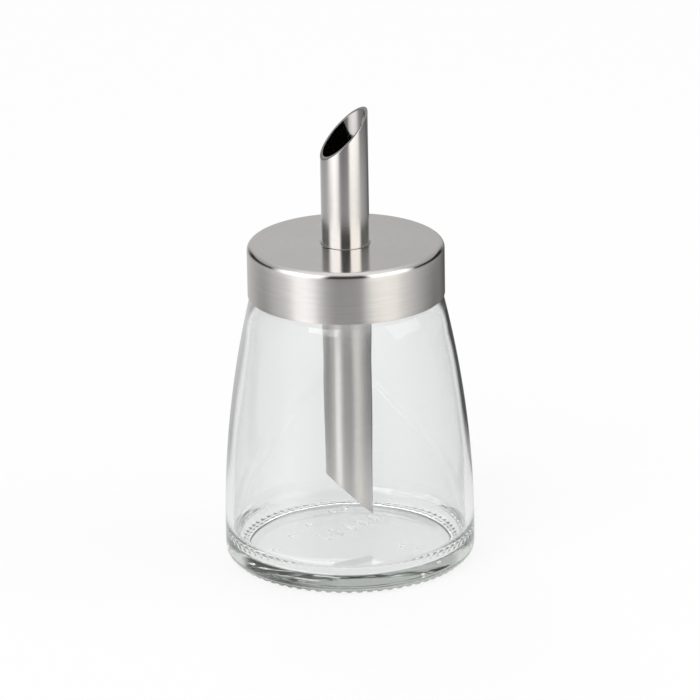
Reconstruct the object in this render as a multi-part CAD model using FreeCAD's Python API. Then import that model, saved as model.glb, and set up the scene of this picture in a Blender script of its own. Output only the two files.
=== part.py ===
"""Glass sugar dispenser: a tapered glass jar under a brushed steel cap with a slant-cut pour tube.

The origin is the centre of the ring that the jar stands on, +Z runs up the jar, and +X points to the
side on which both slanted ends of the pour tube are longest. Sizes are millimetres.

Four pieces, each its own solid:
  glass_jar   heavy floor on a standing ring, tapered body, shoulder and neck
  cap_shell   drawn steel cup with a rounded top edge and a hole for the tube
  cap_liner   plastic insert inside the shell, which grips the neck and holds the tube
  pour_tube   thin steel tube through the cap, cut at a slant at both ends
"""
import FreeCAD, Part
import math
import os

# ---- Glass jar ---------------------------------------------------------------------------------
GLASS_WALL = 2.5             # side wall, measured square to it
FLOOR_THICKNESS = 4.0        # foot plane to the flat of the inner floor
BELLY_RADIUS = 37.6          # widest part of the body
BELLY_HEIGHT = 8.5           # height of the widest part
BELLY_ARCS = 3               # outside, pieces of equal turn that the belly curve is drawn in
TAPER_CROSSING = 43.2        # height at which the straight taper, carried down, is at the belly radius
HEEL_ROUND = 3.2             # rounding between side wall and foot
SHOULDER_HEIGHT = 85.0       # top of the shoulder, up inside the cap's skirt
SHOULDER_WIDTH = 3.0         # neck out to the straight taper, both carried to the shoulder's top
SHOULDER_ROUND = 3.0         # outer edge of the shoulder
NECK_RADIUS = 25.2           # plain neck between the threads
SHOULDER_DEPTH = 7.0         # inside, top of the shoulder down to where the wall starts to close in
NECK_HEIGHT = 11.2           # shoulder to the lip that the cap seats on
LIP_CHAMFER = 0.6            # both edges of the lip
THROAT_RISE = 7.5            # inside, slope from the wall up into the neck's bore
INNER_HEEL_CHAMFER = 2.4     # inside, where wall meets floor
INNER_STEPS = 3              # inside, straight steps that follow the belly curve
PANEL_RISE = 1.3             # hollow panel under the base
PANEL_SLOPE_WIDTH = 12.0     # gentle slope of the panel, from the standing ring up to its flat middle

# ---- Standing ring -----------------------------------------------------------------------------
RING_WIDTH = 2.4             # measured in from the edge where the heel meets the foot
RING_HEIGHT = 0.4
RING_FLANK = 0.35            # how far each flank of the ring slopes in

# ---- Cap ---------------------------------------------------------------------------------------
SHEET = 0.5                  # steel of the cap
CAP_EDGE_ROUND = 1.8         # rounding of the top edge, outside
SKIRT_OVERLAP = 2.5          # how far the skirt hangs past the top of the shoulder
SKIRT_GAP = 0.2              # clear space between the skirt's lower edge and the glass
TUBE_HOLE_GAP = 0.35         # visible gap round the tube where it leaves the cap

# ---- Liner -------------------------------------------------------------------------------------
LINER_TOP = 1.6              # disc between the shell and the glass lip
LINER_SHELL_GAP = 0.05       # push fit inside the shell
THREAD_ALLOWANCE = 1.4       # room between neck and liner for the threads
LINER_SHOULDER_GAP = 0.8     # liner's lower edge to the glass shoulder
HUB_WALL = 1.8
HUB_LENGTH = 6.0             # sleeve below the disc that holds the tube upright
TUBE_LINER_GAP = 0.05        # push fit of the tube in its sleeve

# ---- Pour tube ---------------------------------------------------------------------------------
TUBE_RADIUS = 7.15
TUBE_WALL = 0.55
TUBE_ABOVE_CAP = 41.2        # cap top to the upper tip
TUBE_FLOOR_GAP = 7.1         # inner floor to the lower tip
CUT_ANGLE = 45.0             # both ends, from the level

# ---- Worked out from the sizes above -----------------------------------------------------------
FOOT_PLANE = RING_HEIGHT
FLOOR_HEIGHT = FOOT_PLANE + FLOOR_THICKNESS
NECK_BORE = NECK_RADIUS - GLASS_WALL
SHOULDER_RADIUS = NECK_RADIUS + SHOULDER_WIDTH
JAR_RIM_HEIGHT = SHOULDER_HEIGHT + NECK_HEIGHT
TAPER_ANGLE = math.atan((BELLY_RADIUS - SHOULDER_RADIUS) / (SHOULDER_HEIGHT - TAPER_CROSSING))
BELLY_CURVE = (TAPER_CROSSING - BELLY_HEIGHT) / math.tan(TAPER_ANGLE / 2)
CAP_TOP = JAR_RIM_HEIGHT + LINER_TOP + SHEET
CAP_RIM = SHOULDER_HEIGHT - SKIRT_OVERLAP
SHELL_INNER_RADIUS = SHOULDER_RADIUS + SKIRT_OVERLAP * math.tan(TAPER_ANGLE) + SKIRT_GAP
CAP_RADIUS = SHELL_INNER_RADIUS + SHEET
TUBE_TOP = CAP_TOP + TUBE_ABOVE_CAP
TUBE_BOTTOM = FLOOR_HEIGHT + TUBE_FLOOR_GAP

UP = FreeCAD.Vector(0, 0, 1)
ORIGIN = FreeCAD.Vector(0, 0, 0)


def profile_point(radius, height):
    """A point of a half section that is turned about the vertical axis."""
    return FreeCAD.Vector(radius, 0, height)


def line(start, end):
    """A straight edge."""
    return Part.LineSegment(start, end).toShape()


def arc(centre, radius, start_angle, end_angle):
    """An edge along a circle of the half section; angles are in radians, up from the outward level."""
    angles = (start_angle, (start_angle + end_angle) / 2, end_angle)
    return Part.Arc(*[centre + polar(radius, angle) for angle in angles]).toShape()


def polar(radius, angle):
    """A step of that length in the half section, at that angle up from the outward level."""
    return profile_point(radius * math.cos(angle), radius * math.sin(angle))


def rounded_path(corners):
    """Edges through a list of (radius, height, rounding), with an arc at each rounded corner."""
    points = [profile_point(radius, height) for radius, height, _ in corners]
    edges = []
    start = points[0]
    for index in range(1, len(corners) - 1):
        corner = points[index]
        rounding = corners[index][2]
        if rounding == 0:
            edges.append(line(start, corner))
            start = corner
            continue
        back = (points[index - 1] - corner).normalize()
        ahead = (points[index + 1] - corner).normalize()
        half_angle = back.getAngle(ahead) / 2
        reach = rounding / math.tan(half_angle)
        bisector = (back + ahead).normalize()
        middle = corner + bisector * (rounding / math.sin(half_angle) - rounding)
        edges.append(line(start, corner + back * reach))
        edges.append(Part.Arc(corner + back * reach, middle, corner + ahead * reach).toShape())
        start = corner + ahead * reach
    edges.append(line(start, points[-1]))
    return edges


def turned(edges):
    """The solid that a closed half section makes when it is turned once about the axis."""
    section = Part.Face(Part.Wire(edges))
    return section.revolve(ORIGIN, UP, 360)


BELLY_CENTRE = profile_point(BELLY_RADIUS - BELLY_CURVE, BELLY_HEIGHT)
HEEL_DROP = BELLY_HEIGHT - FOOT_PLANE - HEEL_ROUND
FOOT_RADIUS = BELLY_CENTRE.x + math.sqrt((BELLY_CURVE - HEEL_ROUND) ** 2 - HEEL_DROP ** 2)
HEEL_CENTRE = profile_point(FOOT_RADIUS, FOOT_PLANE + HEEL_ROUND)


def outside_wall():
    """Heel arc and belly curve, from the foot plane up to the start of the straight taper."""
    join = math.atan2(HEEL_CENTRE.z - BELLY_CENTRE.z, HEEL_CENTRE.x - BELLY_CENTRE.x)
    heel = arc(HEEL_CENTRE, HEEL_ROUND, -math.pi / 2, join)
    turn = (TAPER_ANGLE - join) / BELLY_ARCS
    starts = [join + turn * index for index in range(BELLY_ARCS)]
    belly = [arc(BELLY_CENTRE, BELLY_CURVE, start, start + turn) for start in starts]
    return [heel] + belly


def inside_wall():
    """Corners of the inner wall, from the start of its straight taper down to the floor's edge."""
    curve = BELLY_CURVE - GLASS_WALL
    foot_angle = math.asin((FLOOR_HEIGHT + INNER_HEEL_CHAMFER - BELLY_HEIGHT) / curve)
    step = (TAPER_ANGLE - foot_angle) / INNER_STEPS
    points = [BELLY_CENTRE + polar(curve, TAPER_ANGLE - step * index) for index in range(INNER_STEPS + 1)]
    corners = [(point.x, point.z, 0) for point in points]
    return corners + [(corners[-1][0] - INNER_HEEL_CHAMFER, FLOOR_HEIGHT, 0)]


def taper_radius(inset, height):
    """Radius of the straight taper at a height, inset from the outside."""
    outside = BELLY_RADIUS - (height - TAPER_CROSSING) * math.tan(TAPER_ANGLE)
    return outside - inset / math.cos(TAPER_ANGLE)


def make_jar_body():
    """The jar above its standing ring: outside and inside profiles, closed by the hollow panel."""
    taper_foot = BELLY_CENTRE + polar(BELLY_CURVE, TAPER_ANGLE)
    inner_shoulder = SHOULDER_HEIGHT - SHOULDER_DEPTH
    panel_height = FOOT_PLANE + PANEL_RISE
    panel_edge = FOOT_RADIUS - RING_WIDTH
    above = rounded_path([
        (taper_foot.x, taper_foot.z, 0),
        (SHOULDER_RADIUS, SHOULDER_HEIGHT, SHOULDER_ROUND),
        (NECK_RADIUS, SHOULDER_HEIGHT, 0),
        (NECK_RADIUS, JAR_RIM_HEIGHT - LIP_CHAMFER, 0),
        (NECK_RADIUS - LIP_CHAMFER, JAR_RIM_HEIGHT, 0),
        (NECK_BORE + LIP_CHAMFER, JAR_RIM_HEIGHT, 0),
        (NECK_BORE, JAR_RIM_HEIGHT - LIP_CHAMFER, 0),
        (NECK_BORE, inner_shoulder + THROAT_RISE, 0),
        (taper_radius(GLASS_WALL, inner_shoulder), inner_shoulder, 0),
    ] + inside_wall() + [
        (0, FLOOR_HEIGHT, 0),
        (0, panel_height, 0),
        (panel_edge - PANEL_SLOPE_WIDTH, panel_height, 0),
        (panel_edge, FOOT_PLANE, 0),
        (FOOT_RADIUS, FOOT_PLANE, 0),
    ])
    return turned(outside_wall() + above)


def make_standing_ring():
    """A ring with sloping flanks under the foot; its flat crest is what the jar stands on."""
    inner = FOOT_RADIUS - RING_WIDTH
    return turned(rounded_path([
        (inner, RING_HEIGHT, 0),
        (inner + RING_FLANK, 0, 0),
        (FOOT_RADIUS - RING_FLANK, 0, 0),
        (FOOT_RADIUS, RING_HEIGHT, 0),
        (inner, RING_HEIGHT, 0),
    ]))


def make_glass_jar():
    """Jar body with its standing ring."""
    return make_jar_body().fuse(make_standing_ring())


def make_cap_shell():
    """Drawn cup: an even sheet thickness round the top edge, and a hole for the tube."""
    hole = TUBE_RADIUS + TUBE_HOLE_GAP
    outside = rounded_path([
        (hole, CAP_TOP, 0),
        (CAP_RADIUS, CAP_TOP, CAP_EDGE_ROUND),
        (CAP_RADIUS, CAP_RIM, 0),
    ])
    inside = rounded_path([
        (SHELL_INNER_RADIUS, CAP_RIM, 0),
        (SHELL_INNER_RADIUS, CAP_TOP - SHEET, CAP_EDGE_ROUND - SHEET),
        (hole, CAP_TOP - SHEET, 0),
    ])
    rim = line(profile_point(CAP_RADIUS, CAP_RIM), profile_point(SHELL_INNER_RADIUS, CAP_RIM))
    hole_edge = line(profile_point(hole, CAP_TOP - SHEET), profile_point(hole, CAP_TOP))
    return turned(outside + [rim] + inside + [hole_edge])


def make_cap_liner():
    """Plastic insert: disc on the glass lip, skirt round the neck, and a sleeve for the tube."""
    top = CAP_TOP - SHEET
    outer = SHELL_INNER_RADIUS - LINER_SHELL_GAP
    skirt_inner = NECK_RADIUS + THREAD_ALLOWANCE
    lower_edge = SHOULDER_HEIGHT + LINER_SHOULDER_GAP
    bore = TUBE_RADIUS + TUBE_LINER_GAP
    hub = bore + HUB_WALL
    chamfer = CAP_EDGE_ROUND - SHEET
    return turned(rounded_path([
        (bore, top, 0),
        (outer - chamfer, top, 0),
        (outer, top - chamfer, 0),
        (outer, lower_edge, 0),
        (skirt_inner, lower_edge, 0),
        (skirt_inner, JAR_RIM_HEIGHT, 0),
        (hub, JAR_RIM_HEIGHT, 0),
        (hub, JAR_RIM_HEIGHT - HUB_LENGTH, 0),
        (bore, JAR_RIM_HEIGHT - HUB_LENGTH, 0),
        (bore, top, 0),
    ]))


def slanted_waste(low_height, above):
    """Block that a slanted end is cut with; its face rises towards +X from low_height at x = 0."""
    size = 8 * TUBE_RADIUS
    block = Part.makeBox(2 * size, 2 * size, size, FreeCAD.Vector(-size, -size, 0 if above else -size))
    block.rotate(ORIGIN, FreeCAD.Vector(0, 1, 0), -CUT_ANGLE if above else CUT_ANGLE)
    block.translate(UP * low_height)
    return block


def make_pour_tube():
    """Thin tube whose two slanted ends are both longest on the +X side."""
    rise = TUBE_RADIUS * math.tan(math.radians(CUT_ANGLE))
    length = TUBE_TOP - TUBE_BOTTOM
    start = FreeCAD.Vector(0, 0, TUBE_BOTTOM)
    outside = Part.makeCylinder(TUBE_RADIUS, length, start)
    tube = outside.cut(Part.makeCylinder(TUBE_RADIUS - TUBE_WALL, length, start))
    tube = tube.cut(slanted_waste(TUBE_TOP - rise, True))
    return tube.cut(slanted_waste(TUBE_BOTTOM + rise, False))


NODES = {
    "glass_jar": make_glass_jar,
    "cap_shell": make_cap_shell,
    "cap_liner": make_cap_liner,
    "pour_tube": make_pour_tube,
}

os.makedirs("parts", exist_ok=True)
for name, make in NODES.items():
    shape = make()
    solid = shape.Solids[0]
    solid.exportStep("parts/" + name + ".step")
    print(name, "solids", len(shape.Solids), "valid", shape.isValid(), "volume", round(solid.Volume, 1))
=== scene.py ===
"""Glass sugar dispenser: the dressed model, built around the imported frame.

A clear tapered jar with a knurled standing ring carries a brushed steel cap. A steel tube with slanted
ends passes through the cap, and a plastic liner inside the cap holds it. All lengths are metres, in the
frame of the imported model: +Z runs up the jar, and +X points to the long side of the tube's slanted ends.
"""
import logging
from dataclasses import dataclass
from enum import Enum
from math import atan, atan2, ceil, cos, degrees, dist, pi, radians, sin, sqrt, tan
from typing import Callable, Optional, Sequence

import bpy
import numpy as np
from bpy.types import Material, Node as GraphNode, NodeSocket, NodeTree, Object
from mathutils import Matrix, Vector


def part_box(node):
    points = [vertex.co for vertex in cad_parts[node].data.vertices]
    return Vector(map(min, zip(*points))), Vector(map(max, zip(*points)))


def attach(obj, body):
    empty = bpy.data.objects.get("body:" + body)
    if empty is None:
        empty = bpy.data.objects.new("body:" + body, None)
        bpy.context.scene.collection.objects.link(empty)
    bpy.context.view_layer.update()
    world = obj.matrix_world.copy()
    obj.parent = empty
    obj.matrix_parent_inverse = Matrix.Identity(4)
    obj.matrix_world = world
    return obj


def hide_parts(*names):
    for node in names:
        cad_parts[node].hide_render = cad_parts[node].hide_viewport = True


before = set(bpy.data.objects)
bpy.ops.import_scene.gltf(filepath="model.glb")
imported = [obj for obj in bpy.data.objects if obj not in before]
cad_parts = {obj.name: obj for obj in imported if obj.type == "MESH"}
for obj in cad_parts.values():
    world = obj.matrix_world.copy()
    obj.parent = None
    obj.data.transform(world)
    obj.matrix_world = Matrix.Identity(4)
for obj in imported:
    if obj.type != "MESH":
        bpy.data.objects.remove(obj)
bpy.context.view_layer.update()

LOG = logging.getLogger("sugar_dispenser")
MM = 0.001
FULL_TURN = 2.0 * pi
ROOT = "root"
CREASE_ANGLE = radians(40.0)
ON_AXIS = 1e-9
THREAD_PITCH = 3.6 * MM
THREAD_HEIGHT = 1.05 * MM
WHITE = (1.0, 1.0, 1.0)
ALL_BOUNCES = 32
MIRRORED_BOUNCES = 16
# Glass faces that a ray has passed where it meets the reflectors through the heel or the jar.
THROUGH_HEEL = 2.0
THROUGH_JAR = 4.0

Point = tuple[float, float]
Place = tuple[float, float, float]
Face = tuple[int, ...]
Colour = tuple[float, float, float]
Array = np.ndarray
Rings = tuple[Array, Array]
Relief = Callable[[Array, Array, Array], Rings]


class Node(Enum):
    """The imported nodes, by what they are."""

    JAR = "glass_jar"
    SHELL = "cap_shell"
    LINER = "cap_liner"
    TUBE = "pour_tube"


class Slot(Enum):
    """The record's material slots."""

    GLASS = "jar_glass"
    CAP = "cap_steel"
    PLASTIC = "liner_plastic"
    TUBE = "tube_steel"


# ---- Half sections and turned meshes ----


@dataclass(frozen=True)
class Corner:
    """A corner of a half section: radius, height and the rounding that it gets."""

    radius: float
    height: float
    rounding: float = 0.0


def arc_points(centre: Point, radius: float, start: float, end: float, steps: int) -> list[Point]:
    """Points along an arc of a half section.

    Args:
        centre: Centre of the arc as (radius, height).
        radius: Radius of the arc.
        start: First angle in radians, up from the outward level.
        end: Last angle.
        steps: Number of straight steps.

    Returns:
        The points from start to end, both included.
    """
    angles = np.linspace(start, end, steps + 1)
    return [(centre[0] + radius * cos(a), centre[1] + radius * sin(a)) for a in angles]


def rounded(corners: Sequence[Corner], steps: int, closed: bool = False) -> list[Point]:
    """Points through corners, with an arc at each rounded one.

    Args:
        corners: The corners in order.
        steps: Straight steps in each arc.
        closed: Whether the last corner joins the first.

    Returns:
        The points as (radius, height).
    """
    places = [Vector((corner.radius, corner.height)) for corner in corners]
    points: list[Point] = []
    for index, (corner, place) in enumerate(zip(corners, places)):
        if corner.rounding == 0.0 or (not closed and index in (0, len(corners) - 1)):
            points.append((place.x, place.y))
            continue
        back = (places[index - 1] - place).normalized()
        ahead = (places[(index + 1) % len(places)] - place).normalized()
        half_angle = back.angle(ahead) / 2.0
        centre = place + (back + ahead).normalized() * (corner.rounding / sin(half_angle))
        reach = corner.rounding / tan(half_angle)
        first = place + back * reach - centre
        final = place + ahead * reach - centre
        start = atan2(first.y, first.x)
        turn = (atan2(final.y, final.x) - start + pi) % FULL_TURN - pi
        points += arc_points((centre.x, centre.y), corner.rounding, start, start + turn, steps)
    return points


def spread(points: Sequence[Point], step: float, closed: bool = False) -> list[Point]:
    """Adds points along the long straight runs of a section.

    Args:
        points: The section's points.
        step: Longest run allowed.
        closed: Whether the last point joins the first.

    Returns:
        The points with the added ones between them.
    """
    result: list[Point] = []
    ends = [*points[1:], points[0]] if closed else points[1:]
    for start, end in zip(points, ends):
        pieces = max(1, ceil(dist(start, end) / step))
        shares = [part / pieces for part in range(pieces)]
        result += [tuple(a + (b - a) * share for a, b in zip(start, end)) for share in shares]
    return result if closed else [*result, points[-1]]


def turned_object(
    name: str, section: Sequence[Point], segments: int, closed: bool = True, relief: Optional[Relief] = None
) -> Object:
    """Turns a half section about the vertical axis into a smooth object.

    Args:
        name: Name of the object.
        section: Points as (radius, height), counter-clockwise, so that the faces look outward.
        segments: Number of steps round the axis.
        closed: Whether the section is a closed loop; an open one ends on the axis at both ends.
        relief: Moves the points: takes radius, height and angle arrays, gives radius and height.

    Returns:
        The new object, linked to the scene.
    """
    angles = np.arange(segments) * (FULL_TURN / segments)
    vertices: list[Place] = []
    rows: list[Array] = []
    for radius, height in section:
        if radius < ON_AXIS:
            rows.append(np.full(segments, len(vertices)))
            vertices.append((0.0, 0.0, height))
            continue
        radii, heights = np.full(segments, radius), np.full(segments, height)
        if relief is not None:
            radii, heights = relief(radii, heights, angles)
        rows.append(np.arange(segments) + len(vertices))
        ring = np.column_stack((radii * np.cos(angles), radii * np.sin(angles), heights))
        vertices += [tuple(place) for place in ring.tolist()]
    faces: list[Face] = []
    count = len(rows)
    for index in range(count if closed else count - 1):
        low, high = rows[index], rows[(index + 1) % count]
        if low[0] == low[1] and high[0] == high[1]:
            continue
        corners = np.column_stack((low, np.roll(low, -1), np.roll(high, -1), high))
        faces += [tuple(dict.fromkeys(face)) for face in corners.tolist()]
    return smooth_object(name, vertices, faces)


def ring_faces(rows: int, steps: int, closed: bool, inward: bool = False) -> list[Face]:
    """Faces between rings of points that are numbered ring after ring.

    Args:
        rows: Number of rings.
        steps: Number of points in each ring.
        closed: Whether the last ring joins the first.
        inward: Whether the faces look inward.

    Returns:
        The faces as point numbers.
    """
    faces: list[Face] = []
    for row in range(rows if closed else rows - 1):
        low, high = row * steps, (row + 1) % rows * steps
        for step in range(steps):
            beside = (step + 1) % steps
            face = (low + step, low + beside, high + beside, high + step)
            faces.append(face[:1] + face[:0:-1] if inward else face)
    return faces


def smooth_object(name: str, vertices: Sequence[Place], faces: Sequence[Face]) -> Object:
    """Makes a smooth-shaded object, crisp where edges bend by more than the crease angle.

    Args:
        name: Name of the object and its mesh.
        vertices: The points.
        faces: The faces as point numbers.

    Returns:
        The new object, linked to the scene.
    """
    mesh = bpy.data.meshes.new(name)
    mesh.from_pydata(vertices, [], faces)
    mesh.validate()
    mesh.shade_smooth()
    mesh.set_sharp_from_angle(angle=CREASE_ANGLE)
    obj = bpy.data.objects.new(name, mesh)
    bpy.context.scene.collection.objects.link(obj)
    return obj


# ---- Node groups and finishes ----


class Tree:
    """A thin layer over a node tree, so that nodes are added and joined in one line."""

    def __init__(self, tree: NodeTree) -> None:
        """Keeps the tree that nodes are added to."""
        self.tree = tree

    def fill(self, node: GraphNode, inputs: dict) -> GraphNode:
        """Sets or links the inputs of a node.

        Args:
            node: The node.
            inputs: Values or output sockets for its inputs, by name or number.

        Returns:
            The same node.
        """
        for key, value in inputs.items():
            if isinstance(value, NodeSocket):
                self.tree.links.new(value, node.inputs[key])
            else:
                node.inputs[key].default_value = value
        return node

    def add(self, kind: str, inputs: Optional[dict] = None, **settings: object) -> GraphNode:
        """Adds a node.

        Args:
            kind: The node's type.
            inputs: Values or output sockets for its inputs, by name or number.
            **settings: Properties of the node.

        Returns:
            The new node.
        """
        node = self.tree.nodes.new(kind)
        for key, value in settings.items():
            setattr(node, key, value)
        return self.fill(node, inputs or {})

    def math(self, operation: str, first: object, second: object = 0.0) -> NodeSocket:
        """Adds a Math node and returns its result."""
        return self.add("ShaderNodeMath", {0: first, 1: second}, operation=operation).outputs[0]

    def weighed(self, first: object, share: float, second: object) -> NodeSocket:
        """Adds two values up by their shares, which make one together."""
        rest = self.math("MULTIPLY", second, 1.0 - share)
        return self.math("ADD", self.math("MULTIPLY", first, share), rest)

    def shaded(self, factor: object, colour: Colour, contrast: float) -> NodeSocket:
        """Mixes a darker and a lighter shade of a colour."""
        inputs = {"Factor": factor, 6: scaled(colour, 1.0 - contrast), 7: scaled(colour, 1.0 + contrast)}
        return self.add("ShaderNodeMix", inputs, data_type="RGBA").outputs[2]

    def ranged(self, value: object, low: float, high: float, *own: object) -> NodeSocket:
        """Carries a value from its own range, or else 0 to 1, over to the range low to high."""
        ends = {"To Min": low, "To Max": high, **dict(zip(("From Min", "From Max"), own))}
        return self.add("ShaderNodeMapRange", {"Value": value, **ends}).outputs[0]

    def mix(self, share: NodeSocket, first: GraphNode, second: GraphNode, output: GraphNode) -> None:
        """Mixes two shaders, by the share of the second, into the output's surface."""
        shader = self.add("ShaderNodeMixShader", {0: share, 1: first.outputs[0], 2: second.outputs[0]})
        self.fill(output, {"Surface": shader.outputs[0]})

    def seen(self) -> NodeSocket:
        """1 for rays from the camera, off mirrors and through glass, and 0 for all others."""
        rays = self.add("ShaderNodeLightPath").outputs
        other = self.math("MAXIMUM", rays["Is Glossy Ray"], rays["Is Transmission Ray"])
        return self.math("MAXIMUM", rays["Is Camera Ray"], other)

    def place(self, group: NodeTree, **inputs: object) -> GraphNode:
        """Places a node group, with its inputs named in lower case, and returns its node."""
        named = {key.replace("_", " ").capitalize(): value for key, value in inputs.items()}
        return self.fill(self.add("ShaderNodeGroup", node_tree=group), named)


class SharedEffects:
    """Node groups that more than one finish uses, each built once."""

    def __init__(self) -> None:
        """Builds the groups."""
        self.brushing = self._brushing()
        self.patches = self._patches()

    @staticmethod
    def _group(name: str, inputs: dict[str, float], outputs: Sequence[str]) -> tuple[Tree, GraphNode]:
        """Makes an empty group.

        Args:
            name: Name of the group.
            inputs: Names and usual values of its inputs.
            outputs: Names of its outputs.

        Returns:
            The tree to add to, and its Group Input node.
        """
        group = bpy.data.node_groups.new(name, "ShaderNodeTree")
        for label, value in inputs.items():
            socket = group.interface.new_socket(label, in_out="INPUT", socket_type="NodeSocketFloat")
            socket.default_value = value
        for label in outputs:
            group.interface.new_socket(label, in_out="OUTPUT", socket_type="NodeSocketFloat")
        tree = Tree(group)
        return tree, tree.add("NodeGroupInput")

    @classmethod
    def _brushing(cls) -> NodeTree:
        """Fine lines that run round the axis, on upright and on level surfaces alike.

        Returns:
            A group with inputs Lines, Run and Broad lines, and outputs Fine and Broad, from 0 to 1.
        """
        inputs = {"Lines": 9000.0, "Run": 3.0, "Broad lines": 1400.0}
        tree, start = cls._group("Brushing round the axis", inputs, ("Fine", "Broad"))
        place = tree.add("ShaderNodeTexCoord").outputs["Object"]
        axes = tree.add("ShaderNodeSeparateXYZ", {0: place}).outputs
        squares = [tree.math("POWER", axis, 2.0) for axis in (axes[0], axes[1])]
        radius = tree.math("SQRT", tree.math("ADD", *squares))
        across = tree.math("SUBTRACT", radius, axes[2])
        run = [tree.math("MULTIPLY", tree.math("DIVIDE", axis, radius), start.outputs["Run"])
               for axis in (axes[0], axes[1])]
        results = []
        for lines, detail in (("Lines", 2.0), ("Broad lines", 3.0)):
            along = tree.math("MULTIPLY", across, start.outputs[lines])
            spot = tree.add("ShaderNodeCombineXYZ", {0: run[0], 1: run[1], 2: along}).outputs[0]
            noise = tree.add("ShaderNodeTexNoise", {"Vector": spot, "Scale": 1.0, "Detail": detail})
            results.append(noise.outputs["Fac"])
        tree.add("NodeGroupOutput", {"Fine": results[0], "Broad": results[1]})
        return tree.tree

    @classmethod
    def _patches(cls) -> NodeTree:
        """Soft uneven patches, as of handling, polishing or moulding.

        Returns:
            A group with inputs Size and Softness, and output Amount, from 0 to 1.
        """
        tree, start = cls._group("Soft patches", {"Size": 60.0, "Softness": 0.5}, ("Amount",))
        place = tree.add("ShaderNodeTexCoord").outputs["Object"]
        inputs = {"Vector": place, "Scale": start.outputs["Size"], "Detail": 3.0}
        noise = tree.add("ShaderNodeTexNoise", inputs)
        half = tree.math("MULTIPLY", start.outputs["Softness"], 0.5)
        low, high = tree.math("SUBTRACT", 0.5, half), tree.math("ADD", 0.5, half)
        amount = tree.ranged(noise.outputs["Fac"], 0.0, 1.0, low, high)
        tree.add("NodeGroupOutput", {"Amount": amount})
        return tree.tree


def new_material(name: str) -> tuple[Material, Tree, GraphNode]:
    """Makes an empty node material.

    Args:
        name: Name of the material.

    Returns:
        The material, its tree and its output node.
    """
    material = bpy.data.materials.new(name)
    material.use_nodes = True
    material.node_tree.nodes.clear()
    tree = Tree(material.node_tree)
    return material, tree, tree.add("ShaderNodeOutputMaterial")


def scaled(colour: Colour, factor: float) -> tuple[float, float, float, float]:
    """A colour made lighter or darker, as four numbers."""
    return (colour[0] * factor, colour[1] * factor, colour[2] * factor, 1.0)


@dataclass(frozen=True)
class BrushedSteel:
    """Steel brushed round the axis, or plain drawn or ground steel where it isn't anisotropic."""

    name: str
    colour: Colour = (0.70, 0.68, 0.665)
    roughness: float = 0.18
    roughness_range: float = 0.07
    contrast: float = 0.12
    anisotropy: float = 0.85
    lines: float = 9000.0
    lines_per_broad: float = 6.0
    run: float = 2.5
    fine_share: float = 0.6
    grain_share: float = 0.7
    bump_depth: float = 0.4e-5

    def build(self, effects: SharedEffects) -> Material:
        """Builds the material.

        Args:
            effects: The shared node groups.

        Returns:
            The material.
        """
        material, tree, output = new_material(self.name)
        broad = self.lines / self.lines_per_broad
        grain = tree.place(effects.brushing, lines=self.lines, run=self.run, broad_lines=broad).outputs
        patch = tree.place(effects.patches, size=45.0, softness=0.6)
        mixed = tree.weighed(grain["Fine"], self.fine_share, grain["Broad"])
        colour = tree.shaded(mixed, self.colour, self.contrast)
        uneven = tree.weighed(mixed, self.grain_share, patch.outputs["Amount"])
        half = self.roughness_range / 2.0
        rough = tree.ranged(uneven, self.roughness - half, self.roughness + half, 0.25, 0.75)
        bump = tree.add("ShaderNodeBump", {"Height": mixed, "Strength": 1.0, "Distance": self.bump_depth})
        tangent = tree.add("ShaderNodeTangent", direction_type="RADIAL", axis="Z")
        shader = tree.add(
            "ShaderNodeBsdfPrincipled",
            {"Base Color": colour, "Metallic": 1.0, "Roughness": rough, "Anisotropic": self.anisotropy,
             "Anisotropic Rotation": 0.25, "Normal": bump.outputs[0], "Tangent": tangent.outputs[0]},
        )
        tree.fill(output, {"Surface": shader.outputs[0]})
        return material


@dataclass(frozen=True)
class ClearGlass:
    """Clear jar glass that turns grey-green where it is thick."""

    name: str = "clear_jar_glass"
    colour: Colour = (0.917, 0.923, 0.925)
    refraction: float = 1.52
    absorbed: Colour = (0.34, 0.42, 0.34)
    density: float = 9.5
    ripple_depth: float = 0.03 * MM
    smear_roughness: float = 0.02

    def build(self, effects: SharedEffects) -> Material:
        """Builds the material.

        Args:
            effects: The shared node groups.

        Returns:
            The material.
        """
        material, tree, output = new_material(self.name)
        ripple = tree.place(effects.patches, size=38.0, softness=1.0).outputs["Amount"]
        smear = tree.place(effects.patches, size=90.0, softness=0.4).outputs["Amount"]
        rough = tree.ranged(smear, 0.0, self.smear_roughness)
        bump = tree.add("ShaderNodeBump", {"Height": ripple, "Strength": 1.0, "Distance": self.ripple_depth})
        shader = tree.add(
            "ShaderNodeBsdfPrincipled",
            {"Base Color": scaled(self.colour, 1.0), "Metallic": 0.0, "Roughness": rough,
             "IOR": self.refraction, "Transmission Weight": 1.0, "Normal": bump.outputs[0]},
        )
        inputs = {"Color": scaled(self.absorbed, 1.0), "Density": self.density}
        depth = tree.add("ShaderNodeVolumeAbsorption", inputs)
        tree.fill(output, {"Surface": shader.outputs[0], "Volume": depth.outputs[0]})
        return material


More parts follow.
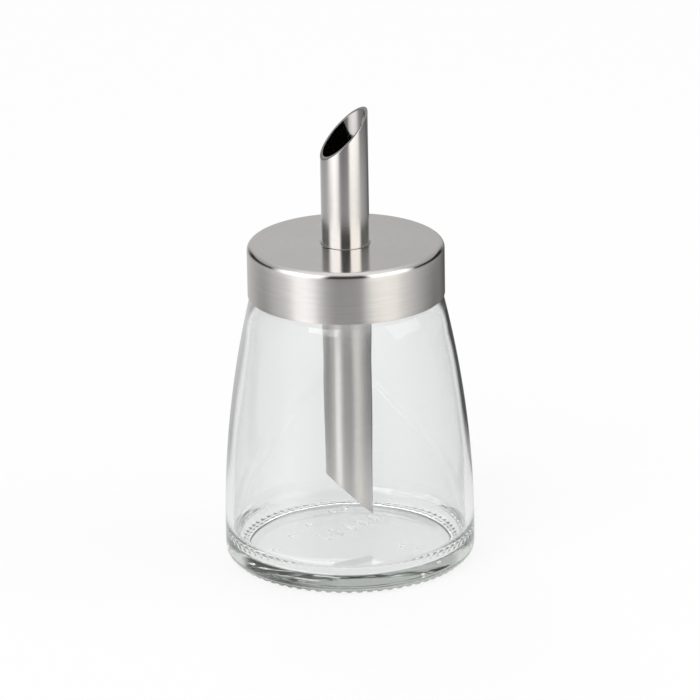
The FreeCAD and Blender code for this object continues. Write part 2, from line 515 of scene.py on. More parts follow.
@dataclass(frozen=True)
class MouldedPlastic:
    """White moulded plastic with a fine matt skin."""

    name: str = "white_moulded_plastic"
    colour: Colour = (0.80, 0.81, 0.80)
    contrast: float = 0.03
    roughness: float = 0.48
    roughness_range: float = 0.1
    skin_depth: float = 0.01 * MM

    def build(self, effects: SharedEffects) -> Material:
        """Builds the material.

        Args:
            effects: The shared node groups.

        Returns:
            The material.
        """
        material, tree, output = new_material(self.name)
        flow = tree.place(effects.patches, size=120.0, softness=0.7).outputs["Amount"]
        skin = tree.place(effects.patches, size=2600.0, softness=0.8).outputs["Amount"]
        colour = tree.shaded(flow, self.colour, self.contrast)
        half = self.roughness_range / 2.0
        rough = tree.ranged(flow, self.roughness - half, self.roughness + half)
        bump = tree.add("ShaderNodeBump", {"Height": skin, "Strength": 0.5, "Distance": self.skin_depth})
        shader = tree.add(
            "ShaderNodeBsdfPrincipled",
            {"Base Color": colour, "Roughness": rough, "IOR": 1.49, "Normal": bump.outputs[0],
             "Subsurface Weight": 0.1, "Subsurface Scale": 0.001},
        )
        tree.fill(output, {"Surface": shader.outputs[0]})
        return material


def dress(obj: Object, material: Material, node: Node) -> Object:
    """Gives a piece its finish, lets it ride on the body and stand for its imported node.

    Args:
        obj: The piece.
        material: Its finish.
        node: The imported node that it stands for.

    Returns:
        The same piece.
    """
    obj.data.materials.append(material)
    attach(obj, ROOT)
    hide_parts(node.value)
    return obj


# ---- Pieces ----


@dataclass(frozen=True)
class ThreadBead:
    """A helical bead on a neck or inside a liner."""

    low: float
    high: float
    pitch: float
    height: float
    width: float
    phase: float = 0.0
    lead_in: float = 0.35

    def rise(self, heights: Array, angles: Array) -> Array:
        """How far the bead stands out at these heights and angles.

        Args:
            heights: Heights of the points.
            angles: Angles of the points round the axis.

        Returns:
            The rise at each point.
        """
        turns = (heights - self.low) / self.pitch - angles / FULL_TURN + self.phase
        offset = (turns - np.round(turns)) * self.pitch
        bead = np.clip(1.0 - (2.0 * offset / self.width) ** 2, 0.0, 1.0)
        room = np.minimum(heights - self.low, self.high - heights)
        ends = np.clip(room / (self.lead_in * self.pitch), 0.0, 1.0)
        return self.height * bead * ends


@dataclass(frozen=True)
class BaseMark:
    """A plain raised mark under the base: a dot, or a short bar where the length isn't zero."""

    right: float
    away: float
    radius: float
    length: float = 0.0
    slant: float = 0.0


def plain_marks() -> tuple[BaseMark, ...]:
    """The dots and short bars under the base, as seen from the camera's side.

    Returns:
        The marks.
    """
    dots = ((-22.6, -6.3, 1.0), (-18.0, 5.4, 1.0), (-12.9, 14.4, 1.0), (-5.6, 25.2, 1.0),
            (-1.7, 28.0, 1.0), (15.2, -4.0, 0.9), (19.6, -6.0, 0.9), (18.3, -17.5, 0.8))
    bars = [(-8.0 + 3.9 * step, 3.6 + 3.9 * step) for step in range(5)]
    bar_radius, bar_length, bar_slant = 0.55 * MM, 4.4 * MM, radians(-38.0)
    return (
        *(BaseMark(right * MM, away * MM, radius * MM) for right, away, radius in dots),
        *(BaseMark(right * MM, away * MM, bar_radius, bar_length, bar_slant) for right, away in bars),
    )


# The inner wall's slow ripple: for each part its waves round the axis, climb, strength and phase.
RIPPLES = ((3.0, 40.0, 1.0, 0.6), (5.0, -95.0, 0.7, 2.0), (9.0, 160.0, 0.4, 0.0))


@dataclass
class GlassJar:
    """The jar: heavy floor on a knurled ring, tapered body, shoulder and threaded neck."""

    wall: float = 2.5 * MM
    floor_thickness: float = 4.0 * MM
    belly_radius: float = 37.6 * MM
    belly_height: float = 8.5 * MM
    taper_crossing: float = 43.2 * MM
    heel_round: float = 3.2 * MM
    inner_heel_round: float = 7.0 * MM
    shoulder_height: float = 85.0 * MM
    shoulder_width: float = 3.0 * MM
    shoulder_round: float = 3.0 * MM
    shoulder_depth: float = 7.0 * MM
    neck_radius: float = 25.2 * MM
    neck_height: float = 11.2 * MM
    neck_foot_round: float = 0.5 * MM
    lip_round: float = 0.9 * MM
    inner_shoulder_round: float = 38.0 * MM
    inner_shoulder_run: float = 6.5 * MM
    throat_round: float = 8.0 * MM
    throat_rise: float = 7.5 * MM
    panel_rise: float = 0.7 * MM
    panel_edge_rise: float = 0.1 * MM
    panel_round: float = 820.0 * MM
    panel_edge_round: float = 6.0 * MM
    ring_width: float = 2.4 * MM
    ring_height: float = 0.4 * MM
    ring_crest_inset: float = 0.8 * MM
    ring_crest_round: float = 0.6 * MM
    ribs: int = 72
    rib_sharpness: float = 1.4
    rib_share: float = 0.3
    tooth_height: float = 0.3 * MM
    tooth_top: float = 0.85 * MM
    tooth_fade: float = 1.6
    segments: int = 432
    curve_steps: int = 60
    marks_turn: float = radians(-19.0)
    mark_height: float = 0.7 * MM
    mark_steepness: float = 1.6
    marks: tuple[BaseMark, ...] = plain_marks()
    table_gap: float = 0.12 * MM
    thread: ThreadBead = ThreadBead(86.8 * MM, 94.4 * MM, THREAD_PITCH, THREAD_HEIGHT, 2.0 * MM)
    wave_depth: float = 0.035 * MM
    wave_start: float = 9.0 * MM
    wave_lead_in: float = 12.0 * MM
    wave_lead_out: float = 8.0 * MM

    @property
    def shoulder_radius(self) -> float:
        """Radius of the straight taper carried up to the shoulder's top."""
        return self.neck_radius + self.shoulder_width

    @property
    def inner_shoulder(self) -> float:
        """Height at which the inner wall turns in to the throat."""
        return self.shoulder_height - self.shoulder_depth

    @property
    def taper_angle(self) -> float:
        """Slope of the straight taper from the upright."""
        run = self.belly_radius - self.shoulder_radius
        return atan(run / (self.shoulder_height - self.taper_crossing))

    @property
    def belly_curve(self) -> float:
        """Radius of the long curve from the heel up to the straight taper."""
        return (self.taper_crossing - self.belly_height) / tan(self.taper_angle / 2.0)

    @property
    def belly_centre(self) -> Point:
        """Centre of the long curve."""
        return (self.belly_radius - self.belly_curve, self.belly_height)

    @property
    def foot_radius(self) -> float:
        """Radius at which the outer heel meets the foot plane."""
        drop = self.belly_height - self.ring_height - self.heel_round
        return self.belly_centre[0] + sqrt((self.belly_curve - self.heel_round) ** 2 - drop ** 2)

    def side(self, inset: float, level: float, rounding: float) -> list[Point]:
        """Heel and belly curve of a wall, from the plane at level up to the straight taper.

        Args:
            inset: Distance in from the outside.
            level: Height of the plane that the heel meets.
            rounding: Radius of the heel.

        Returns:
            The points, from the foot of the heel upward.
        """
        centre = self.belly_centre
        curve = self.belly_curve - inset
        drop = self.belly_height - level - rounding
        reach = sqrt((curve - rounding) ** 2 - drop ** 2)
        join = -atan2(drop, reach)
        foot = (centre[0] + reach, level + rounding)
        heel = arc_points(foot, rounding, -pi / 2.0, join, 12)
        belly = arc_points(centre, curve, join, self.taper_angle, self.curve_steps)
        return heel + belly[1:]

    def taper_radius(self, inset: float, height: float) -> float:
        """Radius of the straight taper at a height, inset from the outside."""
        outside = self.belly_radius - (height - self.taper_crossing) * tan(self.taper_angle)
        return outside - inset / cos(self.taper_angle)

    def section(self) -> list[Point]:
        """The whole half section, from the middle of the panel round to the middle of the floor.

        Returns:
            The points as (radius, height).
        """
        foot, foot_plane = self.foot_radius, self.ring_height
        floor = foot_plane + self.floor_thickness
        ring_inner, panel = foot - self.ring_width, foot_plane + self.panel_rise
        rim = self.shoulder_height + self.neck_height
        bore = self.neck_radius - self.wall
        turn = self.inner_shoulder
        base = rounded([
            Corner(0.0, panel),
            Corner(ring_inner / 2.0, panel, self.panel_round),
            Corner(ring_inner, foot_plane + self.panel_edge_rise, self.panel_edge_round),
            Corner(foot - self.ring_crest_inset, 0.0, self.ring_crest_round),
            Corner(foot, foot_plane),
        ], steps=12)
        outside = self.side(0.0, foot_plane, self.heel_round)
        inside = self.side(self.wall, floor, self.inner_heel_round)
        inside = [place for place in inside if place[1] < turn - self.inner_shoulder_run]
        top = rounded([
            Corner(*outside[-1]),
            Corner(self.shoulder_radius, self.shoulder_height, self.shoulder_round),
            Corner(self.neck_radius, self.shoulder_height, self.neck_foot_round),
            Corner(self.neck_radius, rim, self.lip_round),
            Corner(bore, rim, self.lip_round),
            Corner(bore, turn + self.throat_rise, self.throat_round),
            Corner(self.taper_radius(self.wall, turn), turn, self.inner_shoulder_round),
            Corner(*inside[-1]),
        ], steps=10)
        walls = outside[1:-1] + top + inside[-2::-1]
        floor_run = spread([inside[0], (0.0, floor)], 1.2 * MM)[1:]
        return spread(base, 0.3 * MM) + spread(walls, 0.6 * MM) + floor_run

    def relief(self, radii: Array, heights: Array, angles: Array) -> Rings:
        """Knurls the ring, raises the base marks, threads the neck and lets the inner wall wander.

        Args:
            radii: Radii of one ring of points.
            heights: Their heights.
            angles: Their angles round the axis.

        Returns:
            The new radii and heights.
        """
        radius, height = float(radii[0]), float(heights[0])
        foot_plane = self.ring_height
        crest = np.clip(0.5 + self.rib_sharpness * np.cos(self.ribs * angles), 0.0, 1.0)
        if height < foot_plane:
            share = (1.0 - self.rib_share) + self.rib_share * crest
            return radii, foot_plane + (heights - foot_plane) * share
        if height < self.tooth_top and radius > self.foot_radius - 0.1 * MM:
            rest = (self.tooth_top - height) / (self.tooth_top - foot_plane)
            step = self.tooth_height * min(1.0, self.tooth_fade * rest) * crest
            return radii + 0.5 * step, np.maximum(heights - step, 0.02 * MM)
        under_panel = height < foot_plane + self.panel_rise + 0.1 * MM
        if under_panel and radius < self.foot_radius - self.ring_width:
            return radii, np.maximum(heights - self.mark_relief(radii, angles), self.table_gap)
        if self.shoulder_height + 0.4 * MM < height and radius > self.neck_radius - 0.05 * MM:
            return radii + self.thread.rise(heights, angles), heights
        return radii + self.ripple(radius, height, angles), heights

    def ripple(self, radius: float, height: float, angles: Array) -> Array:
        """How far the inner wall wanders in or out on one ring of points.

        Args:
            radius: Radius of the ring.
            height: Its height.
            angles: Angles of its points round the axis.

        Returns:
            The shift of each point; none outside the inner wall's long curve.
        """
        top = self.inner_shoulder - 4.0 * MM
        if not self.wave_start < height < top:
            return np.zeros_like(angles)
        drop = height - self.belly_height
        outside = self.belly_centre[0] + sqrt(self.belly_curve ** 2 - drop ** 2)
        if radius >= outside - 0.5 * self.wall:
            return np.zeros_like(angles)
        above, below = (height - self.wave_start) / self.wave_lead_in, (top - height) / self.wave_lead_out
        ease = min(1.0, above, below)
        return self.wave_depth * ease * sum(
            strength * np.sin(count * angles + climb * height + phase)
            for count, climb, strength, phase in RIPPLES
        )

    def mark_relief(self, radii: Array, angles: Array) -> Array:
        """How far the plain marks stand out under the base.

        Args:
            radii: Radii of the points.
            angles: Their angles round the axis.

        Returns:
            The rise at each point.
        """
        right = radii * np.cos(angles - self.marks_turn)
        away = radii * np.sin(angles - self.marks_turn)
        rise = np.zeros_like(radii)
        for mark in self.marks:
            east, north = right - mark.right, away - mark.away
            along = east * cos(mark.slant) + north * sin(mark.slant)
            across = north * cos(mark.slant) - east * sin(mark.slant)
            beyond = np.maximum(np.abs(along) - mark.length / 2.0, 0.0)
            distance = np.sqrt(beyond ** 2 + across ** 2) / mark.radius
            bump = np.clip(self.mark_steepness * (1.0 - distance ** 2), 0.0, 1.0)
            rise = np.maximum(rise, self.mark_height * bump)
        return rise

    def build(self, glass: Material) -> Object:
        """Builds the jar in its finish and returns it dressed."""
        jar = turned_object("glass_jar_body", self.section(), self.segments, False, self.relief)
        return dress(jar, glass, Node.JAR)


@dataclass
class CapShell:
    """The drawn steel cup: an even sheet round the top edge, and a hole for the tube."""

    sheet: float = 0.5 * MM
    edge_round: float = 1.8 * MM
    hem_round: float = 0.16 * MM
    hole_round: float = 0.18 * MM
    hole_burr_round: float = 0.1 * MM
    tube_hole_gap: float = 0.35 * MM
    segments: int = 256

    def build(self, steel: Material, tube_radius: float) -> Object:
        """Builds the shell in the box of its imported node.

        Args:
            steel: Its finish.
            tube_radius: Outer radius of the tube that passes through it.

        Returns:
            The dressed shell.
        """
        low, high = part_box(Node.SHELL.value)
        radius = high.x
        hole = tube_radius + self.tube_hole_gap
        inner, ceiling = radius - self.sheet, high.z - self.sheet
        section = rounded([
            Corner(radius, low.z, self.hem_round),
            Corner(radius, high.z, self.edge_round),
            Corner(hole, high.z, self.hole_round),
            Corner(hole, ceiling, self.hole_burr_round),
            Corner(inner, ceiling, self.edge_round - self.sheet),
            Corner(inner, low.z, self.hem_round),
        ], steps=8, closed=True)
        shell = turned_object("cap_shell_steel", spread(section, 1.5 * MM, closed=True), self.segments)
        return dress(shell, steel, Node.SHELL)


@dataclass
class CapLiner:
    """The plastic insert: disc on the glass lip, threaded skirt round the neck, sleeve for the tube."""

    disc: float = 1.6 * MM
    thread_allowance: float = 1.4 * MM
    thread_width: float = 1.3 * MM
    thread_above_edge: float = 1.2 * MM
    thread_below_disc: float = 1.4 * MM
    hub_wall: float = 1.8 * MM
    hub_length: float = 6.0 * MM
    hub_round: float = 0.5 * MM
    tube_gap: float = 0.05 * MM
    top_chamfer: float = 1.3 * MM
    bore_round: float = 0.15 * MM
    edge_round: float = 0.3 * MM
    segments: int = 216

    def build(self, plastic: Material, jar: GlassJar, tube_radius: float) -> Object:
        """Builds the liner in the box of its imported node.

        Args:
            plastic: Its finish.
            jar: The jar whose neck it takes.
            tube_radius: Outer radius of the tube that its sleeve holds.

        Returns:
            The dressed liner.
        """
        low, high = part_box(Node.LINER.value)
        outer = high.x
        under = high.z - self.disc
        sleeve_end = under - self.hub_length
        bore = tube_radius + self.tube_gap
        hub = bore + self.hub_wall
        inner = jar.neck_radius + self.thread_allowance
        section = rounded([
            Corner(outer, low.z, self.edge_round),
            Corner(outer, high.z - self.top_chamfer),
            Corner(outer - self.top_chamfer, high.z),
            Corner(bore, high.z, self.bore_round),
            Corner(bore, sleeve_end, self.edge_round),
            Corner(hub, sleeve_end, self.edge_round),
            Corner(hub, under, self.hub_round),
            Corner(inner, under),
            Corner(inner, low.z, self.edge_round),
        ], steps=5, closed=True)
        thread = ThreadBead(low.z + self.thread_above_edge, under - self.thread_below_disc,
                            THREAD_PITCH, THREAD_HEIGHT, self.thread_width, 0.5)

        def relief(radii: Array, heights: Array, angles: Array) -> Rings:
            """Raises the thread on the skirt's inner face."""
            inside = abs(float(radii[0]) - inner) < 0.02 * MM
            return radii - inside * thread.rise(heights, angles), heights

        points = spread(section, 0.35 * MM, closed=True)
        liner = turned_object("cap_liner_plastic", points, self.segments, relief=relief)
        return dress(liner, plastic, Node.LINER)


@dataclass
class PourTube:
    """The thin steel tube, slant-cut at both ends, longest on the +X side."""

    wall: float = 0.55 * MM
    cut_angle: float = radians(45.0)
    lip_round: float = 0.09 * MM
    lip_softness: float = 0.3
    lip_turn: float = 0.25 * MM
    near_cut: float = 0.25 * MM
    past_turn: float = 1.2 * MM
    segments: int = 192
    rings: int = 40

    @property
    def radius(self) -> float:
        """Outer radius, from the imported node's box."""
        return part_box(Node.TUBE.value)[1].y

    def rows(self) -> tuple[list[tuple[float, float, float]], tuple[int, int, int]]:
        """The rings of points: up the outside, over the upper cut, down the inside and under.

        Returns:
            Each ring's radius, share of the way from lower to upper cut and distance added to
            that; and the numbers of the last ring outside and of the first and last inside.
        """
        outer, lip = self.radius, self.lip_round
        inner, soft = outer - self.wall, self.lip_softness * lip
        turned_in = inner - self.lip_turn
        middle = [(share, 0.0) for share in np.linspace(0.0, 1.0, self.rings + 1)[1:-1]]
        run = [(0.0, self.near_cut), (0.0, self.past_turn), *middle,
               (1.0, -self.past_turn), (1.0, -self.near_cut)]
        outside = [(outer, 0.0, lip), *((outer, *place) for place in run), (outer, 1.0, -lip)]
        upper = [(outer - soft, 1.0, -soft), (outer - lip, 1.0, 0.0), (turned_in + lip, 1.0, 0.0),
                 (turned_in + soft, 1.0, -soft), (turned_in, 1.0, -lip)]
        inside = [(inner, *place) for place in run[::-1]]
        under = [(radius, 0.0, -shift) for radius, _, shift in upper[::-1]]
        first_inner = len(outside) + len(upper)
        marks = (len(outside) - 1, first_inner, first_inner + len(inside) - 1)
        return outside + upper + inside + under, marks

    def build(self, steel: Material, inside: Material, cut: Material) -> Object:
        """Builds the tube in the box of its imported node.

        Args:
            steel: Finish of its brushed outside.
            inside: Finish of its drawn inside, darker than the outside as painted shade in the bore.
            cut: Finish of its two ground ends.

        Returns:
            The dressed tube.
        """
        low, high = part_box(Node.TUBE.value)
        slope = tan(self.cut_angle)
        top_middle = high.z - self.radius * slope
        bottom_middle = low.z + self.radius * slope
        rows, (last_outer, first_inner, last_inner) = self.rows()
        angles = np.arange(self.segments) * (FULL_TURN / self.segments)
        vertices: list[Place] = []
        for radius, share, shift in rows:
            east = radius * np.cos(angles)
            upper = top_middle + east * slope
            lower = bottom_middle - east * slope
            heights = lower + (upper - lower) * share + shift
            vertices += np.column_stack((east, radius * np.sin(angles), heights)).tolist()
        faces = ring_faces(len(rows), self.segments, closed=True)
        tube = dress(smooth_object("pour_tube_steel", vertices, faces), steel, Node.TUBE)
        tube.data.materials.append(inside)
        tube.data.materials.append(cut)
        for face in tube.data.polygons:
            row = face.index // self.segments
            if first_inner <= row < last_inner:
                face.material_index = 1
            elif row >= last_outer:
                face.material_index = 2
        return tube


# ---- Studio ----


def ramp(value: float, start: float, end: float) -> float:
    """0 at start, 1 at end, straight between the two and level beyond them."""
    return float(np.clip((value - start) / (end - start), 0.0, 1.0))


class Tier:
    """One height of the reflectors, in degrees as seen from the cap, and the light at it."""

    def __init__(self, elevation: float, *places: tuple[float, ...]) -> None:
        """Keeps the places: azimuth from the camera, brightness and, where it isn't neutral, warmth."""
        self.elevation = elevation
        self.azimuths, *self.lights = zip(*((*place, 0.0)[:3] for place in places))

    def level(self, azimuth: float) -> list[float]:
        """The brightness and the warmth at an azimuth, straight between the places."""
        return [float(np.interp(azimuth, self.azimuths, values)) for values in self.lights]


def lamp_tier(elevation: float, wider: float, dark: float, beside: float, rear: float = -150.0) -> Tier:
    """A tier with a soft light on either side of the camera and a pale wall behind the object.

    Args:
        elevation: Its elevation in degrees.
        wider: Degrees by which the lights are widened.
        dark: Brightness of the gap between the lights.
        beside: Brightness of the sides, between the lights and the wall.
        rear: Azimuth at which the wall ends on the left.

    Returns:
        The tier.
    """
    return Tier(
        elevation, (-180.0, 0.62), (rear, 0.6), (-134.0, beside), (-88.0 - 2.0 * wider, beside),
        (-68.0 - 2.0 * wider, 1.9), (-30.0 + wider, 1.9), (-20.0 + wider, dark), (20.0, dark),
        (28.0, 1.8, 1.0), (66.0 + 2.0 * wider, 1.8, 1.0), (80.0 + 2.0 * wider, beside),
        (134.0, beside), (152.0, 0.55), (180.0, 0.6),
    )


TIERS: tuple[Tier, ...] = (
    Tier(-70.0, (-180, 0.95), (-100, 0.9), (-66, 1.0), (-48, 1.25), (-24, 1.0), (0, 0.88), (24, 0.98),
         (45, 1.15, 1.0), (66, 1.05, 1.0), (100, 0.85), (180, 0.95)),
    Tier(-52.0, (-180, 0.85), (-120, 0.66), (-105, 0.62), (-78, 0.8), (-54, 1.42), (-43, 1.5), (-34, 1.28),
         (-24, 0.88), (-12, 0.72), (8, 0.66), (24, 0.88), (36, 1.12, 1.0), (55, 1.12, 1.0), (78, 0.88),
         (105, 0.72), (125, 0.64), (180, 0.85)),
    Tier(-37.0, (-180, 0.75), (-150, 0.42), (-105, 0.4), (-88, 0.52), (-66, 0.8), (-54, 1.42), (-43, 1.52),
         (-34, 1.1), (-24, 0.65), (-12, 0.44), (12, 0.38), (24, 0.5), (34, 0.82, 1.0), (45, 0.92, 1.0),
         (56, 0.86, 1.0), (78, 0.5), (105, 0.37), (125, 0.3), (152, 0.2), (164, 0.5), (180, 0.8)),
    Tier(-21.0, (-180, 0.7), (-130, 0.56), (-112, 0.38), (-100, 0.36), (-88, 0.5), (-70, 0.62), (-64, 0.8),
         (-56, 1.2), (-45, 1.32), (-36, 1.24), (-28, 0.75), (-20, 0.52), (-13, 0.42), (14, 0.42), (22, 0.66),
         (30, 0.95, 1.0), (44, 1.15, 1.0), (54, 1.1, 1.0), (64, 0.84, 0.5), (80, 0.6), (100, 0.32),
         (114, 0.2), (130, 0.22), (152, 0.1), (164, 0.2), (174, 0.6), (180, 0.8)),
    Tier(-10.0, (-180, 0.75), (-130, 0.57), (-105, 0.62), (-76, 0.88), (-64, 1.1), (-54, 1.3), (-44, 1.24),
         (-34, 0.86), (-22, 0.52), (-8, 0.36), (8, 0.42), (16, 0.55), (23, 1.08, 1.0), (36, 1.18, 1.0),
         (54, 1.06, 1.0), (66, 0.8, 0.5), (90, 0.58), (115, 0.42), (148, 0.1), (164, 0.15), (174, 0.6),
         (180, 0.85)),
    lamp_tier(6.0, 0.0, 0.03, 0.0, -152.0),
    lamp_tier(19.0, 1.0, 0.04, 0.0),
    lamp_tier(23.5, 1.0, 0.04, 0.5),
    lamp_tier(34.0, 2.0, 0.05, 0.5),
    Tier(60.0, (-180, 0.9), (-90, 0.8), (0, 0.8), (90, 0.8), (180, 0.9)),
)


@dataclass(frozen=True)
class Lamp:
    """A soft square lamp: its name, place, side and power in watts."""

    name: str
    place: Place
    size: float
    power: float

    def hang(self, target: Vector) -> None:
        """Adds the lamp, aimed at a point.

        Args:
            target: The point.
        """
        data = bpy.data.lights.new(self.name, "AREA")
        data.size = self.size
        data.energy = self.power
        lamp = bpy.data.objects.new(self.name, data)
        lamp.location = self.place
        lamp.rotation_euler = (target - Vector(self.place)).to_track_quat("-Z", "Y").to_euler()
        lamp.visible_glossy = False
        lamp.visible_camera = False
        bpy.context.scene.collection.objects.link(lamp)


LAMPS = (
    Lamp("key_lamp", (-0.9, -0.7, 1.5), 1.1, 13.0),
    Lamp("fill_lamp", (1.1, -0.6, 1.1), 1.2, 7.0),
    Lamp("back_lamp", (0.1, 1.3, 1.3), 1.0, 6.0),
)


@dataclass
class Studio:
    """Pale floor, plain soft light, and a bowl of reflectors that only the steel and glass mirror."""

    floor_radius: float = 3.0
    floor_steps: int = 96
    floor_colour: float = 0.9
    floor_white: float = 0.84
    world_light: float = 0.55
    lamp_target: Place = (0.0, 0.0, 0.06)
    bowl_radius: float = 0.16
    bowl_centre: float = 95.0 * MM
    bowl_above_floor: float = 0.5 * MM
    bowl_span: tuple[float, float] = (-68.0, 60.0)
    bowl_rows: int = 65
    bowl_steps: int = 180
    camera_azimuth: float = radians(-19.0)
    heel_ramp: tuple[float, float] = (138.0, 146.0)
    tube_ramp: tuple[float, float] = (-16.0, -19.0)
    dark_ramps: tuple[tuple[float, float], ...] = ((142.0, 150.0), (172.0, 164.0))
    darkening: float = 0.9

    def build(self) -> None:
        """Builds the floor, the world, the reflectors and the lamps."""
        self.floor()
        self.world()
        self.reflectors()
        for lamp in LAMPS:
            lamp.hang(Vector(self.lamp_target))

    def floor(self) -> None:
        """A round pale floor; it shows white to the camera and keeps the shadow."""
        turns = [FULL_TURN * step / self.floor_steps for step in range(self.floor_steps)]
        radius = self.floor_radius
        rim = [(radius * cos(turn), radius * sin(turn), 0.0) for turn in turns]
        floor = smooth_object("studio_floor", rim, [tuple(range(self.floor_steps))])
        material, tree, output = new_material("pale_floor")
        share = tree.math("MULTIPLY", tree.seen(), self.floor_white)
        matt = tree.add("ShaderNodeBsdfDiffuse", {"Color": scaled(WHITE, self.floor_colour)})
        glow = tree.add("ShaderNodeEmission", {"Color": scaled(WHITE, 1.0), "Strength": 1.0})
        tree.mix(share, matt, glow, output)
        floor.data.materials.append(material)

    def world(self) -> None:
        """White where it is seen, plain soft light for everything else."""
        world = bpy.data.worlds.new("studio_world")
        world.use_nodes = True
        world.node_tree.nodes.clear()
        tree = Tree(world.node_tree)
        strength = tree.ranged(tree.seen(), self.world_light, 1.0)
        background = tree.add("ShaderNodeBackground", {"Color": scaled(WHITE, 1.0), "Strength": strength})
        tree.add("ShaderNodeOutputWorld", {"Surface": background.outputs[0]})
        bpy.context.scene.world = world

    @staticmethod
    def light(azimuth: float, elevation: float) -> Colour:
        """Light of the reflectors in one direction.

        Args:
            azimuth: Azimuth from the camera in degrees.
            elevation: Elevation in degrees.

        Returns:
            The colour.
        """
        heights = [tier.elevation for tier in TIERS]
        upper = int(np.clip(np.searchsorted(heights, elevation), 1, len(TIERS) - 1))
        low, high = TIERS[upper - 1], TIERS[upper]
        share = ramp(elevation, low.elevation, high.elevation)
        level, warmth = [a + (b - a) * share for a, b in zip(low.level(azimuth), high.level(azimuth))]
        return (level * (1.0 + 0.015 * warmth), level, level * (1.0 - 0.045 * warmth))

    def reflectors(self) -> None:
        """A bowl of light and dark reflectors round the object, seen only in mirrored rays.

        Its colour "shown" says where it shows in the heel and in the tube behind the jar's wall,
        and how far it is darkened through the glass.
        """
        vertices: list[Place] = []
        paints: dict[str, list[float]] = {"brightness": [], "shown": []}
        for elevation in np.linspace(*self.bowl_span, self.bowl_rows).tolist():
            slope = tan(radians(elevation))
            radius, height = self.bowl_radius, self.bowl_centre + self.bowl_radius * slope
            if height < self.bowl_above_floor:
                height = self.bowl_above_floor
                radius = (height - self.bowl_centre) / slope
            tube = ramp(elevation, *self.tube_ramp)
            for step in range(self.bowl_steps):
                azimuth = FULL_TURN * step / self.bowl_steps - pi
                turn = self.camera_azimuth + azimuth - pi / 2.0
                vertices.append((radius * cos(turn), radius * sin(turn), height))
                azimuth = degrees(azimuth)
                heel = ramp(abs(azimuth), *self.heel_ramp)
                dark = self.darkening * min(ramp(azimuth, *ends) for ends in self.dark_ramps)
                paints["brightness"] += [*self.light(azimuth, elevation), 1.0]
                paints["shown"] += [heel, tube, dark, 1.0]
        faces = ring_faces(self.bowl_rows, self.bowl_steps, closed=False, inward=True)
        bowl = smooth_object("studio_reflectors", vertices, faces)
        for name, values in paints.items():
            paint = bowl.data.color_attributes.new(name, "FLOAT_COLOR", "POINT")
            paint.data.foreach_set("color", np.array(values, dtype=np.float32))
        bowl.data.materials.append(self.reflector_light())
        for switch in ("camera", "diffuse", "volume_scatter", "shadow"):
            setattr(bowl, "visible_" + switch, False)

    @staticmethod
    def reflector_light() -> Material:
        """Light that mirrored rays meet outside the glass and, by the masks, through it.

        Returns:
            The material.
        """
        material, tree, output = new_material("reflector_light")
        bright = tree.add("ShaderNodeAttribute", attribute_name="brightness").outputs["Color"]
        shown = tree.add("ShaderNodeAttribute", attribute_name="shown").outputs["Color"]
        heel, tube, dark = tree.add("ShaderNodeSeparateColor", {0: shown}).outputs
        rays = tree.add("ShaderNodeLightPath").outputs
        faces_passed = rays["Transmission Depth"]
        visible = tree.math("LESS_THAN", faces_passed, 0.5)
        for count, mask in ((THROUGH_HEEL, heel), (THROUGH_JAR, tube)):
            inputs = {0: faces_passed, 1: count, 2: 0.5}
            through = tree.add("ShaderNodeMath", inputs, operation="COMPARE").outputs[0]
            visible = tree.math("MAXIMUM", visible, tree.math("MULTIPLY", through, mask))
        shade = tree.math("MULTIPLY", tree.math("GREATER_THAN", faces_passed, 0.5), dark)
        strength = tree.math("SUBTRACT", 1.0, shade)
        glow = tree.add("ShaderNodeEmission", {"Color": bright, "Strength": strength})
        clear = tree.add("ShaderNodeBsdfTransparent")
        mirrored = tree.math("GREATER_THAN", rays["Glossy Depth"], 0.5)
        tree.mix(tree.math("MULTIPLY", mirrored, visible), clear, glow, output)
        return material


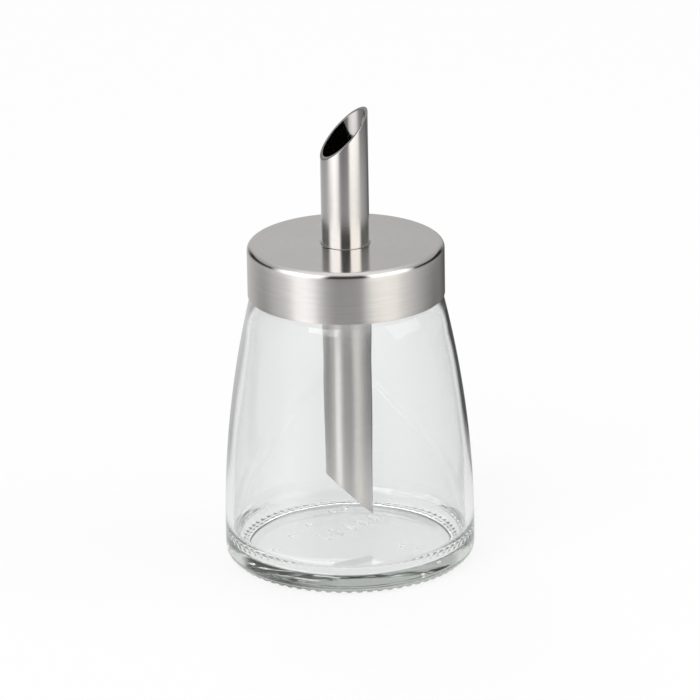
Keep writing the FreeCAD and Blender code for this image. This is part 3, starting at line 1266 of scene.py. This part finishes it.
@dataclass
class StudioCamera:
    """The camera: long lens, a little above the object, turned a touch to one side."""

    azimuth: float = radians(-19.0)
    elevation: float = radians(19.66)
    roll: float = radians(-0.94)
    distance: float = 1.790
    target_height: float = 0.060
    aim_right: float = 0.745 * MM
    aim_up: float = 4.08 * MM
    sensor: float = 36.0
    lens: float = 307.4
    near: float = 0.05
    far: float = 20.0

    def build(self) -> Object:
        """Builds the camera and makes it the scene's own.

        Returns:
            The camera.
        """
        level = cos(self.elevation)
        east, north = cos(self.azimuth), sin(self.azimuth)
        back = Vector((north * level, -east * level, sin(self.elevation)))
        right = Vector((east, north, 0.0))
        up = back.cross(right)
        twist = Matrix.Rotation(self.roll, 3, back)
        right, up = twist @ right, twist @ up
        target = Vector((0.0, 0.0, self.target_height))
        place = target + back * self.distance
        sight = (place - (target + right * self.aim_right + up * self.aim_up)).normalized()
        right = up.cross(sight).normalized()
        up = sight.cross(right)
        data = bpy.data.cameras.new("studio_camera")
        data.sensor_width = self.sensor
        data.lens = self.lens
        data.clip_start = self.near
        data.clip_end = self.far
        camera = bpy.data.objects.new("studio_camera", data)
        axes = Matrix((right, up, sight)).transposed().to_4x4()
        camera.matrix_world = Matrix.Translation(place) @ axes
        bpy.context.scene.collection.objects.link(camera)
        bpy.context.scene.camera = camera
        return camera


def let_light_through() -> None:
    """Lets light go on through the many faces of the thick glass before it is given up."""
    cycles = bpy.context.scene.cycles
    cycles.max_bounces = ALL_BOUNCES
    cycles.glossy_bounces = MIRRORED_BOUNCES
    cycles.transmission_bounces = ALL_BOUNCES
    cycles.transparent_max_bounces = ALL_BOUNCES


def report(obj: Object) -> None:
    """Logs a finished piece with its number of faces."""
    LOG.info("%s: %d faces", obj.name, len(obj.data.polygons))


def main() -> None:
    """Builds the finishes, the pieces, the studio and the camera, in that order."""
    logging.basicConfig(level=logging.INFO, format="%(name)s %(levelname)s %(message)s")
    effects = SharedEffects()
    cap_steel = BrushedSteel("brushed_cap_steel").build(effects)
    tube_steel = BrushedSteel("brushed_tube_steel", lines=11000.0, contrast=0.08).build(effects)
    glass = ClearGlass().build(effects)
    # The tube's drawn inside is smooth, unbrushed steel; its darker colour is painted shade in the bore.
    shaded_inner_steel = BrushedSteel("drawn_inner_tube_steel_painted_shade", colour=(0.50, 0.48, 0.47), roughness=0.1,
                               roughness_range=0.03, contrast=0.06, anisotropy=0.0).build(effects)
    cut_steel = BrushedSteel("ground_tube_edge_steel", colour=(0.40, 0.39, 0.38), roughness=0.32,
                             roughness_range=0.08, anisotropy=0.0, lines=5000.0).build(effects)
    plastic = MouldedPlastic().build(effects)
    jar = GlassJar()
    tube = PourTube()
    report(jar.build(glass))
    report(CapShell().build(cap_steel, tube.radius))
    report(CapLiner().build(plastic, jar, tube.radius))
    report(tube.build(tube_steel, shaded_inner_steel, cut_steel))
    Studio().build()
    StudioCamera().build()
    let_light_through()
    bpy.context.scene.view_settings.view_transform = "Standard"


if __name__ == "__main__":
    main()
